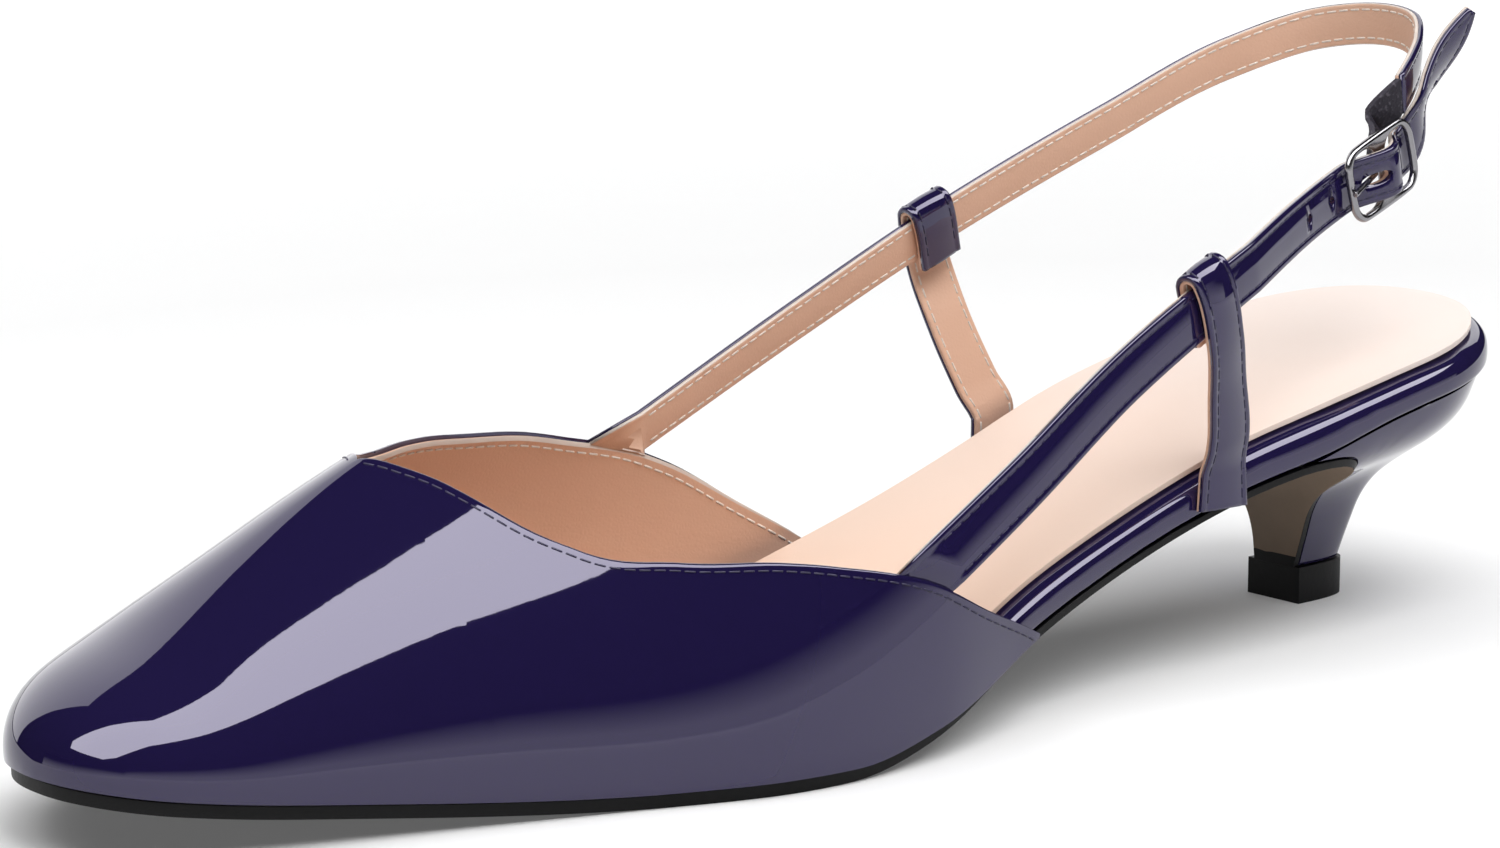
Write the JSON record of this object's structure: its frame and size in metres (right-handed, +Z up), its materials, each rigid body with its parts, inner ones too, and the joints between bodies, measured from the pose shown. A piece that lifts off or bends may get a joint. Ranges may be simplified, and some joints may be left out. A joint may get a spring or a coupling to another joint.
{
  "type": "kitten heel slingback pump",
  "caption": "Closed-toe pump with a low-cut V throat, an open waist and heel, a buckled slingback strap carried by side loops, and a low curved heel.",
  "frame": {"origin": "centre of the heel tip's bottom face, on the floor", "axes": "+Z up, the toe points to -Y and the heel to +Y, the outer (lateral) side of this left shoe is +X"},
  "size_m": [0.0768, 0.2595, 0.0934],
  "materials": {
    "navy_patent": "high gloss patent",
    "tan_lining": "soft matt lining leather",
    "black_sole": "matt",
    "gunmetal": "polished dark gunmetal",
    "dark_elastic": "woven elastic"
  },
  "bodies": {
    "root": {"outsole": "black_sole", "insole_board": "navy_patent", "sock_lining": "tan_lining", "vamp": "navy_patent", "heel": "navy_patent", "heel_tip": "black_sole", "buckle_strap": "navy_patent", "heel_strap": "navy_patent", "elastic_piece": "dark_elastic", "lateral_tab": "navy_patent", "medial_tab": "navy_patent", "buckle_frame": "gunmetal", "buckle_prong": "gunmetal"}
  },
  "joints": []
}
